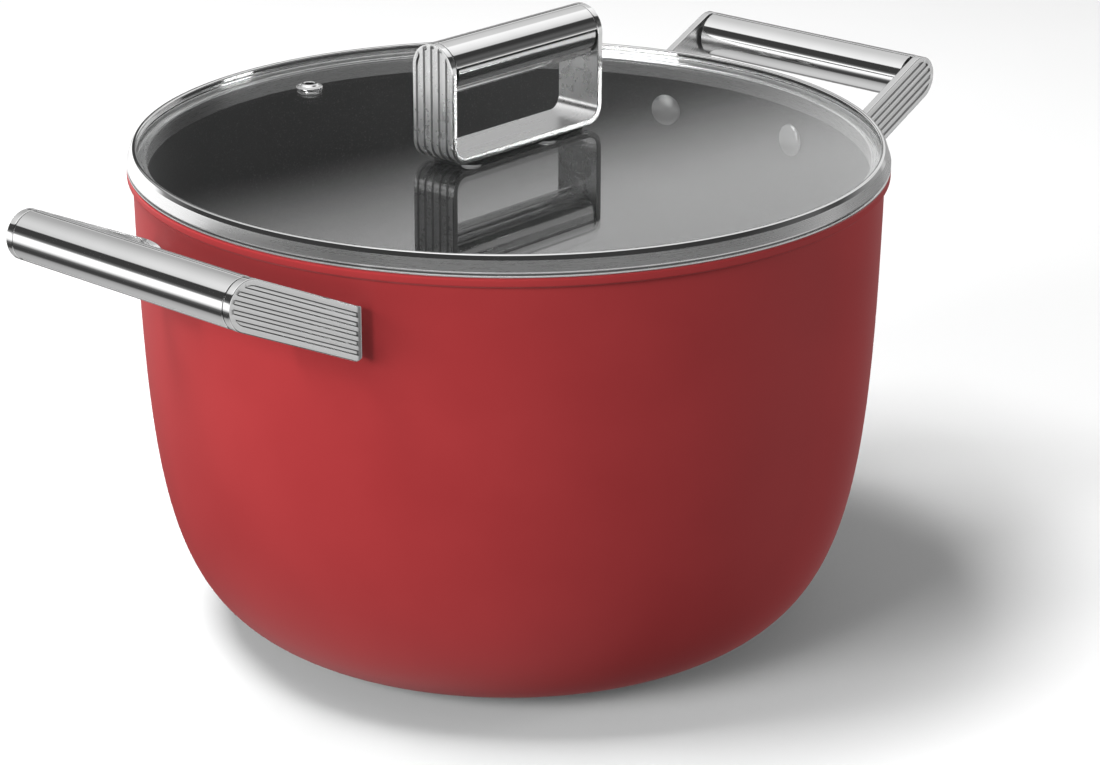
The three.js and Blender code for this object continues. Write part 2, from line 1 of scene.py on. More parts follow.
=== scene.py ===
"""Looks of a lidded stock pot: red body, dark lining, glass lid and ribbed steel handles.

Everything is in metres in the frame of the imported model: +Z up, +X to the right-hand handle.
Right and left are the handles at +X and -X; rear and front are +Y and -Y.
"""

import math

import bmesh
import bpy
from mathutils import Matrix, Vector
from mathutils.geometry import delaunay_2d_cdt


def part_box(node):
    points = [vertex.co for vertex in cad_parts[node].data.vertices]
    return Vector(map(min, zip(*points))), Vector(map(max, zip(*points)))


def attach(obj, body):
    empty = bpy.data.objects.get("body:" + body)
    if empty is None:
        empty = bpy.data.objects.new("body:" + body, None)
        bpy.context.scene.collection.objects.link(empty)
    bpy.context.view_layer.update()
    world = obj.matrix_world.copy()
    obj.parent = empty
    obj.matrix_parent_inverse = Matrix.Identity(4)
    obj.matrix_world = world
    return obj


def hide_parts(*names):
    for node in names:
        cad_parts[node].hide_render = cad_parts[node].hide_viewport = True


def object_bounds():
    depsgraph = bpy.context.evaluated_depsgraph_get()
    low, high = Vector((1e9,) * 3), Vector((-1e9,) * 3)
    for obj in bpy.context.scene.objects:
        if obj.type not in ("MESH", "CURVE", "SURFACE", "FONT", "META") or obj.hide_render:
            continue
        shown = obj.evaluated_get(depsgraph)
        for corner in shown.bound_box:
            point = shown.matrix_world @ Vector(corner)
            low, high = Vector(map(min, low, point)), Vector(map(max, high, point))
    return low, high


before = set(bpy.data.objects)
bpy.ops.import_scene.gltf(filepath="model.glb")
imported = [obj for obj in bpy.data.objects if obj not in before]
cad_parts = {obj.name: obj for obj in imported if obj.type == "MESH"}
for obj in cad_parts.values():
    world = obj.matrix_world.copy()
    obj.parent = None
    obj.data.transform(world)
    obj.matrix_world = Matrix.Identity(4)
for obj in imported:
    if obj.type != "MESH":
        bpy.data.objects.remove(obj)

cad_low, cad_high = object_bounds()


def low(node):
    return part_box(node)[0]


def high(node):
    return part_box(node)[1]


# ------------------------------------------------------------ driving dimensions

# between pieces that touch, as in the CAD model
GAP = 0.0003

# pot body: the side is one curve, from the foot's edge to just under the lip
FOOT_RADIUS = 0.076
UNDERSIDE_Z = low("pot_body").z
SIDE_TOP_RADIUS = 0.134
SIDE_TOP = Vector((SIDE_TOP_RADIUS, 0.168))
SIDE_LOWER_PULL = 0.0517
SIDE_UPPER_PULL = Vector((0.13255, 0.0527))
WALL = 0.004
FLOOR = 0.0055
LINING = 0.00012
LINING_TOP_DROP = 0.0014
LIP_RADIUS = high("pot_body").x
LIP_TOP_Z = high("pot_body").z
LIP_DEPTH = 0.0032
MOUTH_RADIUS = 0.1302
BASE_RADIUS = high("induction_base").x
BASE_THICK = high("induction_base").z
BASE_RINGS = (0.06, 0.03)

# lid
GLASS_RADIUS = high("lid_glass").x
GLASS_LOW_Z = low("lid_glass").z
GLASS_TOP_Z = high("lid_glass").z
RIM_RADIUS = high("lid_rim").x
RIM_TOP_Z = high("lid_rim").z
BEAD_INSIDE = 0.1324
BEAD_OUTSIDE = 0.1339
BAND_LEAN_Z = 0.1749
BAND_TOP_Z = 0.1787
BAND_LEAN = 0.0013
# heights of the rim's crease, where shade is painted into the rim's colour
CREASE_SHADE_Z = (0.1737, 0.1744)
CREASE_DEPTH = 0.0007
SKIRT_LOW_Z = low("lid_rim").z
SKIRT_RADIUS = 0.1296
RIM_SHEET = 0.0006
VENT = (low("vent_eyelet") + high("vent_eyelet")) / 2
VENT_HOLE = 0.0019
VENT_BARREL = 0.0031

# knob
KNOB_HALF_LENGTH = high("knob_strap").x
KNOB_HALF_WIDTH = high("knob_strap").y
KNOB_SHEET = 0.0024
KNOB_CORNER = 0.007
KNOB_AXIS_Z = high("knob_strap").z - KNOB_HALF_WIDTH
KNOB_SEAM = 10
STRAP_LOW_Z = 0.1788
SCREW_X = (low("knob_right_screw").x + high("knob_right_screw").x) / 2
SCREW_HEAD_RADIUS = 0.0036
SCREW_HOLE = 0.0018
BOSS_RADIUS = 0.0032

# side handles
HANDLE_RADIUS = 0.0087
HANDLE_X = cad_high.x - HANDLE_RADIUS
HANDLE_Z = high("right_grip_core").z - 0.0054
HANDLE_HALF_WIDTH = high("right_rear_arm").y
HANDLE_TILT = math.radians(25)
HANDLE_SEAM = 20
ARM_THICK = 0.003
ARM_BEND = 0.0057
ARM_WALL_RADIUS = 0.1341
ARM_END_Y = 0.022
FOOT_DROP = 0.004
GRIP_WALL = 0.003
CORE_WALL = 0.0019
INSERT_END_GAP = 0.0013

# ribs: grooves and the ridges between them
RIB_BORDER = 0.0015
ARM_RIB_BORDER = 0.002
RIB_GROOVES = 5
RIB_DEPTH = 0.0006
RIB_GROOVE_SHARE = 0.56
RIB_SIDE_SHARE = 0.24

# rivets
RIVET_Y = 0.032
RIVET_Z = 0.1545
RIVET_RADIUS = 0.003
RIVET_LEAN = math.asin(RIVET_Y / SIDE_TOP_RADIUS)

# mesh fineness: steps round a large or a small piece, and lengths along a bend or a wall
TURNED_STEPS = 240
SMALL_STEPS = 48
BEND_CUT = 0.0005
WALL_CUT = 0.0015


# ------------------------------------------------------------ outlines

def arc(centre, radius, start, end, steps):
    """Points on a circle from one angle to another, in degrees."""
    angles = [math.radians(start + (end - start) * i / steps) for i in range(steps + 1)]
    return [Vector((centre[0] + radius * math.cos(a), centre[1] + radius * math.sin(a))) for a in angles]


def circle(centre, radius, steps):
    return arc(centre, radius, 0, 360 - 360 / steps, steps - 1)


def rounded(corners, steps=5):
    """A closed outline from corners (x, y, radius); a radius of 0 leaves the corner sharp."""
    outline = []
    for i, (x, y, radius) in enumerate(corners):
        here = Vector((x, y))
        if radius == 0:
            outline.append(here)
            continue
        before = (Vector(corners[i - 1][:2]) - here).normalized()
        after = (Vector(corners[(i + 1) % len(corners)][:2]) - here).normalized()
        half = before.angle(after) / 2
        centre = here + (before + after).normalized() * radius / math.sin(half)
        reach = radius / math.tan(half)
        start = (here + before * reach - centre).angle_signed(Vector((1, 0)))
        end = (here + after * reach - centre).angle_signed(Vector((1, 0)))
        sweep = (end - start + math.pi) % (2 * math.pi) - math.pi
        outline += arc(centre, radius, math.degrees(start), math.degrees(start + sweep), steps)
    return outline


def sharp(points):
    return [(x, y, 0) for x, y in points]


def anticlockwise(loop):
    area = sum(a.cross(b) for a, b in zip(loop, loop[1:] + loop[:1]))
    return loop if area > 0 else loop[::-1]


def moved_in(loop, distance):
    """An anticlockwise outline moved inward by a distance small against its corners."""
    result = []
    for i, here in enumerate(loop):
        first = (here - loop[i - 1]).orthogonal().normalized()
        second = (loop[(i + 1) % len(loop)] - here).orthogonal().normalized()
        result.append(here + (first + second) * distance / (1 + first.dot(second)))
    return result


def contains(loop, point):
    inside = False
    for a, b in zip(loop, loop[1:] + loop[:1]):
        if (a.y > point.y) != (b.y > point.y):
            if point.x < a.x + (b.x - a.x) * (point.y - a.y) / (b.y - a.y):
                inside = not inside
    return inside


# ------------------------------------------------------------ meshes

# places in a ribbed sheet's list of finishes, after its face
EDGE_FINISH = 1
# the grooves' sides, which take a darker steel as painted shade
GROOVE_SHADE_FINISH = 2


def smoothed(obj, angle=35):
    """Smooth faces that keep edges sharper than the angle in degrees, with flats kept flat."""
    for face in obj.data.polygons:
        face.use_smooth = True
    obj.data.set_sharp_from_angle(angle=math.radians(angle))
    flats = obj.modifiers.new("flats", "WEIGHTED_NORMAL")
    flats.keep_sharp = True
    flats.weight = 80
    return obj


def object_from(mesh, name, *finishes):
    """An object from a bmesh, in one finish or with more for a sheet's edges and grooves."""
    for face in mesh.faces:
        face.material_index = min(face.material_index, len(finishes) - 1)
    bmesh.ops.recalc_face_normals(mesh, faces=mesh.faces)
    data = bpy.data.meshes.new(name)
    mesh.to_mesh(data)
    mesh.free()
    for finish in finishes:
        data.materials.append(finish)
    obj = bpy.data.objects.new(name, data)
    bpy.context.scene.collection.objects.link(obj)
    return smoothed(obj)


def wall(mesh, first, second, finish=0):
    """Faces between two closed rings of as many vertices."""
    for i in range(len(first)):
        j = (i + 1) % len(first)
        mesh.faces.new((first[i], first[j], second[j], second[i])).material_index = finish


def turn(mesh, outline, steps):
    """A closed outline of (radius, height) turned about the Z axis."""
    on_axis = 1e-7
    rings = []
    for radius, height in outline:
        if radius < on_axis:
            rings.append([mesh.verts.new((0, 0, height))])
        else:
            rings.append([mesh.verts.new((*p, height)) for p in circle((0, 0), radius, steps)])
    for first, second in zip(rings, rings[1:] + rings[:1]):
        if len(first) > 1 and len(second) > 1:
            wall(mesh, first, second)
        elif len(first) + len(second) > 2:
            tip, ring = sorted((first, second), key=len)
            for i in range(steps):
                mesh.faces.new((tip[0], ring[i], ring[(i + 1) % steps]))


def turned(name, outline, finish, steps=TURNED_STEPS):
    mesh = bmesh.new()
    turn(mesh, outline, steps)
    return object_from(mesh, name, finish)


def fill(mesh, outer, holes):
    """Triangles between an outer ring of vertices and the rings of its holes, all at one height."""
    rings = [outer, *holes]
    loops = [[v.co.to_2d() for v in ring] for ring in rings]
    vertices = [v for ring in rings for v in ring]
    edges = []
    for ring in rings:
        start = sum(len(r) for r in rings[:rings.index(ring)])
        edges += [(start + i, start + (i + 1) % len(ring)) for i in range(len(ring))]
    flat = [v.co.to_2d() for v in vertices]
    coords, _, faces, origins, _, _ = delaunay_2d_cdt(flat, edges, [], 0, 1e-9)
    for face in faces:
        centre = sum((coords[i] for i in face), Vector((0, 0))) / len(face)
        if contains(loops[0], centre) and not any(contains(loop, centre) for loop in loops[1:]):
            mesh.faces.new([vertices[origins[i][0]] for i in face])


def edge_steps(radius):
    """(inset, drop) of the steps of a rounded edge, from the side to the face."""
    angles = [math.radians(a) for a in (0, 22.5, 45, 67.5, 90)]
    return [(radius * (1 - math.cos(a)), radius * (1 - math.sin(a))) for a in angles]


def groove_steps(width, depth):
    """(inset, height) down a groove's soft side, with a rolled edge and a round foot."""
    shares = [i / 6 for i in range(7)]
    return [(RIB_SIDE_SHARE * width * s, -depth * (3 * s * s - 2 * s ** 3)) for s in shares]


def plate(mesh, outline, thickness, rounding, holes=(), grooves=(), depth=RIB_DEPTH):
    """A flat sheet with its face at height 0, rounded edges, through holes and sunk grooves.

    Each groove is (outline, width), where outline(inset) gives its outline moved in.
    """
    outline = anticlockwise(outline)
    hole_loops = [anticlockwise(hole) for hole in holes]

    def ring(loop, height):
        return [mesh.verts.new((x, y, height)) for x, y in loop]

    def edge(loop, side):
        steps = edge_steps(rounding)
        top = [ring(moved_in(loop, side * inset), -drop) for inset, drop in steps]
        bottom = [ring(moved_in(loop, side * inset), drop - thickness) for inset, drop in steps]
        rings = bottom[::-1] + top
        for first, second in zip(rings, rings[1:]):
            wall(mesh, first, second, EDGE_FINISH)
        return rings[0], rings[-1]

    bottom, top = edge(outline, 1)
    hole_rings = [edge(loop, -1) for loop in hole_loops]
    groove_rings = []
    for groove, width in grooves:
        rings = [ring(anticlockwise(groove(inset)), height) for inset, height in groove_steps(width, depth)]
        for first, second in zip(rings, rings[1:]):
            wall(mesh, first, second, GROOVE_SHADE_FINISH)
        fill(mesh, rings[-1], [])
        groove_rings.append(rings[0])
    fill(mesh, bottom, [r[0] for r in hole_rings])
    fill(mesh, top, [r[1] for r in hole_rings] + groove_rings)


def bent(mesh, place, cuts):
    """Cut a flat sheet across at each x of cuts, then put every point where place says."""
    for x in cuts:
        everything = [*mesh.verts, *mesh.edges, *mesh.faces]
        bmesh.ops.bisect_plane(mesh, geom=everything, plane_co=(x, 0, 0), plane_no=(1, 0, 0), dist=1e-7)
    for vertex in mesh.verts:
        vertex.co = place(*vertex.co)


def spread(start, end, step):
    count = math.ceil((end - start) / step)
    return [start + (end - start) * i / count for i in range(count + 1)]


def piece(obj, body, slot, *nodes):
    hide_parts(*nodes)
    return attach(obj, body)


# ------------------------------------------------------------ material graphs

class Graph:
    """A node material: add() makes a node, and a socket given as a value is linked."""

    def __init__(self, owner):
        owner.use_nodes = True
        self.tree = owner.node_tree
        self.tree.nodes.clear()

    def add(self, kind, values=None, **settings):
        node = self.tree.nodes.new(kind)
        for name, value in settings.items():
            setattr(node, name, value)
        for name, value in (values or {}).items():
            socket = node.inputs[name]
            if isinstance(value, bpy.types.NodeSocket):
                self.tree.links.new(value, socket)
            else:
                socket.default_value = value
        return node

    def math(self, operation, *values):
        return self.add("ShaderNodeMath", dict(enumerate(values)), operation=operation).outputs[0]

    def ramp(self, value, stops):
        """A colour ramp of (position, colour) stops."""
        node = self.add("ShaderNodeValToRGB", {"Fac": value})
        elements = node.color_ramp.elements
        while len(elements) < len(stops):
            elements.new(0.5)
        for element, (position, colour) in zip(elements, stops):
            element.position = position
            element.color = (*colour, 1)
        return node.outputs["Color"]

    def spread(self, value, low_value, high_value):
        """A 0 to 1 value mapped to a range."""
        values = {"Value": value, "To Min": low_value, "To Max": high_value}
        return self.add("ShaderNodeMapRange", values).outputs[0]

    def step(self, value, start, end):
        """0 before start and 1 after end, with a smooth step between them."""
        values = {"Value": value, "From Min": start, "From Max": end}
        return self.add("ShaderNodeMapRange", values, interpolation_type="SMOOTHSTEP").outputs[0]

    def mixed(self, share, first, second):
        return self.add("ShaderNodeMixRGB", {"Fac": share, "Color1": first, "Color2": second}).outputs[0]

    def noise(self, vector, scale, detail=2.0, roughness=0.5):
        values = {"Vector": vector, "Scale": scale, "Detail": detail, "Roughness": roughness}
        return self.add("ShaderNodeTexNoise", values).outputs["Fac"]

    def bump(self, height, distance, strength, below=None):
        values = {"Height": height, "Distance": distance, "Strength": strength}
        if below is not None:
            values["Normal"] = below
        return self.add("ShaderNodeBump", values).outputs["Normal"]

    def place(self, rotation=(0, 0, 0), scale=(1, 1, 1)):
        """Points of the object's own space, turned and then scaled."""
        source = self.add("ShaderNodeTexCoord").outputs["Object"]
        turned_node = self.add("ShaderNodeMapping", {"Vector": source, "Rotation": rotation})
        return self.add("ShaderNodeMapping", {"Vector": turned_node.outputs[0], "Scale": scale}).outputs[0]

    def surface(self, values):
        shader = self.add("ShaderNodeBsdfPrincipled", values)
        self.add("ShaderNodeOutputMaterial", {"Surface": shader.outputs[0]})


def material(name):
    return bpy.data.materials.new(name)


def grey(level):
    return (level, level, level)


# ------------------------------------------------------------ materials

def red_enamel():
    """Satin powder coat: an even red with a very fine orange-peel and slight cloudiness."""
    result = material("red_enamel")
    graph = Graph(result)
    points = graph.place()
    clouds = graph.noise(points, 28, 3)
    colour = graph.ramp(clouds, [(0.3, (0.385, 0.032, 0.035)), (0.7, (0.415, 0.037, 0.040))])
    peel = graph.noise(points, 1300, 3, 0.6)
    grain = graph.noise(points, 4200, 1)
    normal = graph.bump(grain, 0.00003, 0.35, graph.bump(peel, 0.00006, 0.4))
    graph.surface({
        "Base Color": colour,
        "Roughness": graph.spread(clouds, 0.44, 0.52),
        "Specular IOR Level": 0.32,
        "Normal": normal,
    })
    return result


def dark_coating():
    """Non-stick coating: near black, with a fine pale fleck and a soft sheen."""
    result = material("dark_coating")
    graph = Graph(result)
    points = graph.place()
    fleck = graph.noise(points, 1900, 1)
    colour = graph.ramp(fleck, [(0.62, grey(0.022)), (0.7, grey(0.07))])
    grain = graph.noise(points, 2600, 2)
    graph.surface({
        "Base Color": colour,
        "Specular IOR Level": 0.1,
        "Roughness": graph.spread(grain, 0.36, 0.5),
        "Normal": graph.bump(grain, 0.00004, 0.4),
    })
    return result


def brushed_steel(name, tone, roughness, rotation=(0, 0, 0), across="yz"):
    """Steel brushed along X, with lines that are fine across the given axes, once turned by the rotation."""
    result = material(name)
    graph = Graph(result)
    coarse, fine = 60, 3600
    scale = (coarse, fine if "y" in across else coarse, fine if "z" in across else coarse)
    lines = graph.noise(graph.place(rotation, scale), 1, 3, 0.7)
    smears = graph.noise(graph.place(rotation, (40, 300, 300)), 1, 2)
    line_depth = 0.0000008
    graph.surface({
        "Base Color": graph.ramp(lines, [(0.3, grey(tone * 0.93)), (0.7, grey(tone))]),
        "Metallic": 1.0,
        "Roughness": graph.spread(smears, roughness - 0.05, roughness + 0.05),
        "Normal": graph.bump(lines, line_depth, 0.8),
    })
    return result


def spun_steel(name, tone, roughness, pitch, polished_from=1.0, crease=(-1, -1), painted_shade_below=-1.0):
    """Steel brushed in circles round the Z axis, at so many lines in a metre.

    It is polished from a height up, darkened as painted shade between the two heights of a crease, and
    darker below a height as painted shade.
    """
    result = material(name)
    graph = Graph(result)
    split = graph.add("ShaderNodeSeparateXYZ", {"Vector": graph.place()})
    x, y, z = (split.outputs[axis] for axis in "XYZ")
    squares = [graph.math("MULTIPLY", side, side) for side in (x, y)]
    radius = graph.math("SQRT", graph.math("ADD", *squares))
    turns = graph.math("ARCTAN2", y, x)
    smears_per_radian = 9.0
    across_lines = graph.add("ShaderNodeCombineXYZ", {
        "X": graph.math("MULTIPLY", radius, pitch),
        "Y": graph.math("MULTIPLY", z, pitch),
        "Z": graph.math("MULTIPLY", turns, smears_per_radian),
    })
    rings = graph.noise(across_lines.outputs[0], 1, 3, 0.7)
    colour = graph.ramp(rings, [(0.3, grey(tone * 0.97)), (0.7, grey(tone))])
    soft, crisp = 0.0002, 0.00004
    satin = graph.step(z, polished_from, polished_from - soft)
    # painted shade: the colour turns near black between the crease's two heights
    above_low = graph.step(z, crease[0], crease[0] + crisp)
    below_high = graph.step(z, crease[1], crease[1] - crisp)
    crease_shade = graph.math("MULTIPLY", above_low, below_high)
    colour = graph.mixed(crease_shade, colour, (*grey(0.12), 1))
    # painted shade: the colour is darker below the height, for the skirt that sits in the pot's shade under
    # the glass
    below = graph.step(z, painted_shade_below, painted_shade_below - soft)
    colour = graph.mixed(below, colour, (*grey(0.22), 1))
    brushed = graph.spread(rings, roughness - 0.08, roughness)
    polished_roughness = 0.06
    line_depth = 0.0000006
    graph.surface({
        "Base Color": colour,
        "Metallic": 1.0,
        "Roughness": graph.math("MULTIPLY_ADD", satin, brushed, polished_roughness),
        "Normal": graph.bump(rings, line_depth, 0.5),
    })
    return result


def polished_steel():
    """Mirror-polished steel with faint hairlines."""
    result = material("polished_steel")
    graph = Graph(result)
    hairs = graph.noise(graph.place((0.3, 0.2, 0.5), (400, 6000, 6000)), 1, 2)
    clouds = graph.noise(graph.place(), 60, 2)
    graph.surface({
        "Base Color": graph.ramp(clouds, [(0.3, grey(0.72)), (0.7, grey(0.75))]),
        "Metallic": 1.0,
        "Roughness": graph.spread(clouds, 0.045, 0.085),
        "Normal": graph.bump(hairs, 0.000002, 0.5),
    })
    return result


def clear_glass():
    """Tempered glass, which lets the lamps' light through to what is under it."""
    result = material("clear_glass")
    graph = Graph(result)
    drift = graph.noise(graph.place(), 30, 1)
    shader = graph.add("ShaderNodeBsdfPrincipled", {
        "Base Color": (0.94, 0.945, 0.945, 1),
        "Roughness": 0.0,
        "IOR": 1.5,
        "Transmission Weight": 1.0,
        "Normal": graph.bump(drift, 0.00001, 0.1),
    })
    open_to_light = graph.add("ShaderNodeBsdfTransparent", {"Color": (0.85, 0.87, 0.86, 1)})
    mixed = graph.add("ShaderNodeMixShader", {
        0: graph.add("ShaderNodeLightPath").outputs["Is Shadow Ray"],
        1: shader.outputs[0],
        2: open_to_light.outputs[0],
    })
    graph.add("ShaderNodeOutputMaterial", {"Surface": mixed.outputs[0]})
    return result


def silicone():
    """Dull black silicone with a fine moulded grain."""
    result = material("silicone")
    graph = Graph(result)
    grain = graph.noise(graph.place(), 3000, 2)
    graph.surface({
        "Base Color": graph.ramp(grain, [(0.3, grey(0.012)), (0.7, grey(0.02))]),
        "Roughness": graph.spread(grain, 0.6, 0.75),
        "Normal": graph.bump(grain, 0.00004, 0.4),
    })
    return result


RED = red_enamel()
COATING = dark_coating()
POLISHED = polished_steel()
GLASS = clear_glass()
SILICONE = silicone()
RIM_STEEL = spun_steel(
    "rim_steel",
    0.72,
    0.26,
    2600,
    polished_from=BAND_TOP_Z,
    # painted shade: the crease is darkened
    crease=CREASE_SHADE_Z,
    # painted shade on the skirt, below the flange under the glass
    painted_shade_below=GLASS_LOW_Z - RIM_SHEET - 2 * GAP,
)
BASE_STEEL = spun_steel("base_steel", 0.6, 0.34, 1800)
ARM_STEEL = brushed_steel("arm_steel", 0.8, 0.28, (0, HANDLE_TILT, 0), "z")
STRAP_STEEL = brushed_steel("strap_steel", 0.8, 0.28, across="y")
# painted shade: a darker steel on the grooves' sides, so the grooves read as shaded
GROOVE_SHADE_STEEL = brushed_steel("groove_shade_steel", 0.28, 0.35)
TUBE_STEEL = brushed_steel("tube_steel", 0.5, 0.36)
RIVET_STEEL = brushed_steel("rivet_steel", 0.22, 0.42)


# ------------------------------------------------------------ pot body and base

def side_points(inset_foot, inset_top, steps=48):
    """The side's curve from the foot up, moved in by an amount that changes evenly along it."""
    ends = (
        Vector((FOOT_RADIUS, UNDERSIDE_Z)),
        Vector((FOOT_RADIUS + SIDE_LOWER_PULL, UNDERSIDE_Z)),
        SIDE_UPPER_PULL,
        SIDE_TOP,
    )
    points = []
    for i in range(steps + 1):
        t = i / steps
        s = 1 - t
        here = s ** 3 * ends[0] + 3 * s * s * t * ends[1] + 3 * s * t * t * ends[2] + t ** 3 * ends[3]
        along = s * s * (ends[1] - ends[0]) + 2 * s * t * (ends[2] - ends[1]) + t * t * (ends[3] - ends[2])
        inset = inset_foot + (inset_top - inset_foot) * t
        points.append(here + along.orthogonal().normalized() * inset)
    return points


def pot_body():
    recess_top = BASE_THICK + GAP
    recess = BASE_RADIUS + GAP
    lip_low = LIP_TOP_Z - LIP_DEPTH
    lip_root = SIDE_TOP.x + 0.00002
    lining_top = LIP_TOP_Z - LINING_TOP_DROP
    inner = side_points(FLOOR - LINING, WALL - LINING)[::-1]
    outline = rounded([
        (0, recess_top, 0),
        (recess, recess_top, 0),
        (recess, UNDERSIDE_Z, 0.0002),
        *sharp(side_points(0, 0)),
        (lip_root, lip_low, 0.0011),
        (LIP_RADIUS, lip_low, 0.0008),
        (LIP_RADIUS, LIP_TOP_Z, 0.0009),
        (MOUTH_RADIUS, LIP_TOP_Z, 0.001),
        (MOUTH_RADIUS, lining_top, 0),
        (MOUTH_RADIUS + LINING, lining_top, 0),
        *sharp(inner),
        (0, inner[-1].y, 0),
    ])
    body = turned("pot_body_metal", outline, RED)
    # the steel mirrors the studio and not the pot, and the pot throws no red on the floor
    body.visible_glossy = False
    body.visible_diffuse = False
    piece(body, "pot", "red_enamel", "pot_body")

    clearance = 0.00002
    face = side_points(FLOOR, WALL)
    back = side_points(FLOOR - LINING + clearance, WALL - LINING + clearance)[::-1]
    coat = [
        Vector((0, face[0].y)),
        *face,
        Vector((MOUTH_RADIUS, lining_top - clearance)),
        Vector((MOUTH_RADIUS + LINING - clearance, lining_top - clearance)),
        *back,
        Vector((0, back[-1].y)),
    ]
    lining = turned("pot_lining", coat, COATING)
    lining.visible_glossy = False
    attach(lining, "pot")


def induction_base():
    half_width = 0.001
    depth = 0.0006
    ease = 0.0002
    bottom = [(BASE_RADIUS, BASE_THICK, 0.0003), (BASE_RADIUS, 0, 0.0006)]
    for radius in BASE_RINGS:
        bottom += [
            (radius + half_width, 0, ease),
            (radius + half_width, depth, ease),
            (radius - half_width, depth, ease),
            (radius - half_width, 0, ease),
        ]
    outline = rounded([(0, BASE_THICK, 0), *bottom, (0, 0, 0)])
    piece(turned("induction_base_disc", outline, BASE_STEEL), "pot", "base_steel", "induction_base")


# ------------------------------------------------------------ bars that are gripped

def ring_sector(radius, facing, span):
    """Part of a ring, centred on an angle and as wide as a span, in degrees, with eased corners."""
    start = facing - span / 2
    end = facing + span / 2
    degrees_per_step = 4
    steps = math.ceil(span / degrees_per_step)
    outer = sharp(arc((0, 0), radius, start, end, steps))
    inner = sharp(arc((0, 0), radius - GRIP_WALL, end, start, steps))
    ease = 0.0003
    for row in (outer, inner):
        row[0] = (*row[0][:2], ease)
        row[-1] = (*row[-1][:2], ease)
    return rounded(outer + inner, 3)


def bar_part(name, outline, half_length, finish, holes):
    """An outline of (x, z) pushed along Y, both ways from the bar's middle."""
    rounding = 0.00025
    mesh = bmesh.new()
    plate(mesh, outline, 2 * half_length, rounding, holes)
    for vertex in mesh.verts:
        x, z, drop = vertex.co
        vertex.co = (x, half_length + drop, z)
    return object_from(mesh, name, finish)


def bar(name, body, radius, half_length, facing, shell_span, matrix):
    """A gripped bar: an outer shell, an insert that closes it and a tube inside them."""
    slack = math.degrees(GAP / radius)
    insert_span = 360 - shell_span - 3 * slack
    shell = ring_sector(radius, facing, shell_span)
    insert = ring_sector(radius, facing + 180, insert_span)
    tube_radius = radius - GRIP_WALL - GAP
    tube = circle((0, 0), tube_radius, SMALL_STEPS)
    bore = circle((0, 0), tube_radius - CORE_WALL, SMALL_STEPS)
    parts = [
        ("grip_shell", shell, half_length - GAP, POLISHED, ()),
        ("grip_insert", insert, half_length - INSERT_END_GAP, POLISHED, ()),
        ("grip_core", tube, half_length - GAP, TUBE_STEEL, [bore]),
    ]
    for part, outline, length, finish, holes in parts:
        obj = bar_part(f"{name}_{part}_metal", outline, length, finish, holes)
        obj.matrix_world = matrix
        slot = "satin_steel" if finish is TUBE_STEEL else "polished_steel"
        piece(obj, body, slot, f"{name}_{part}")


# ------------------------------------------------------------ ribbed sheets

def rib_pitch(half_width, border):
    ridge_share = 1 - RIB_GROOVE_SHARE
    ribbed = 2 * (half_width - border)
    return ribbed / (RIB_GROOVES - ridge_share)


def rib_grooves(half_width, border, end):
    """Grooves along X in a strip with a round end at its origin, each as (outline, width).

    outline(inset) is the groove's outline moved in; end(y) is where the grooves stop.
    """
    pitch = rib_pitch(half_width, border)
    width = pitch * RIB_GROOVE_SHARE

    def groove(middle):
        def outline(inset):
            radius = half_width - border - inset
            rows = [middle + (width / 2 - inset) * (k / 4 - 1) for k in range(9)]
            begin = [Vector((-math.sqrt(max(radius * radius - y * y, 0)), y)) for y in rows]
            return begin + [Vector((end(y) - inset, y)) for y in rows[::-1]]
        return outline

    middles = [(i - (RIB_GROOVES - 1) / 2) * pitch for i in range(RIB_GROOVES)]
    return [(groove(middle), width) for middle in middles]


def reshaped(groove, move):
    """The same groove with every point of its outline moved."""
    outline, width = groove
    return lambda inset: [move(point) for point in outline(inset)], width


# ------------------------------------------------------------ side handles

BEND_CENTRE = Vector((
    math.sqrt((ARM_WALL_RADIUS + ARM_BEND) ** 2 - (HANDLE_HALF_WIDTH - ARM_BEND) ** 2),
    HANDLE_HALF_WIDTH - ARM_BEND,
))
BEND_ANGLE = math.atan2(BEND_CENTRE.y, BEND_CENTRE.x)
ARM_FLAT = HANDLE_X - BEND_CENTRE.x
ARM_BEND_END = ARM_FLAT + ARM_BEND * (math.pi / 2 + BEND_ANGLE)
ARM_END = ARM_BEND_END + ARM_WALL_RADIUS * (BEND_ANGLE - math.asin(ARM_END_Y / ARM_WALL_RADIUS))


def on_arm(along, height, drop):
    """A point of the flat sheet on the arm at +Y: straight, then round the bend, then on the pot."""
    z = HANDLE_Z + height
    if along <= ARM_FLAT:
        return Vector((HANDLE_X - along, HANDLE_HALF_WIDTH + drop, z))
    if along <= ARM_BEND_END:
        angle = math.pi / 2 + (along - ARM_FLAT) / ARM_BEND
        x = BEND_CENTRE.x + (ARM_BEND + drop) * math.cos(angle)
        return Vector((x, BEND_CENTRE.y + (ARM_BEND + drop) * math.sin(angle), z))
    angle = BEND_ANGLE - (along - ARM_BEND_END) / ARM_WALL_RADIUS
    radius = ARM_WALL_RADIUS - drop
    return Vector((radius * math.cos(angle), radius * math.sin(angle), z))


def turned_point(x, y, angle):
    c, s = math.cos(angle), math.sin(angle)
    return Vector((x * c - y * s, x * s + y * c))


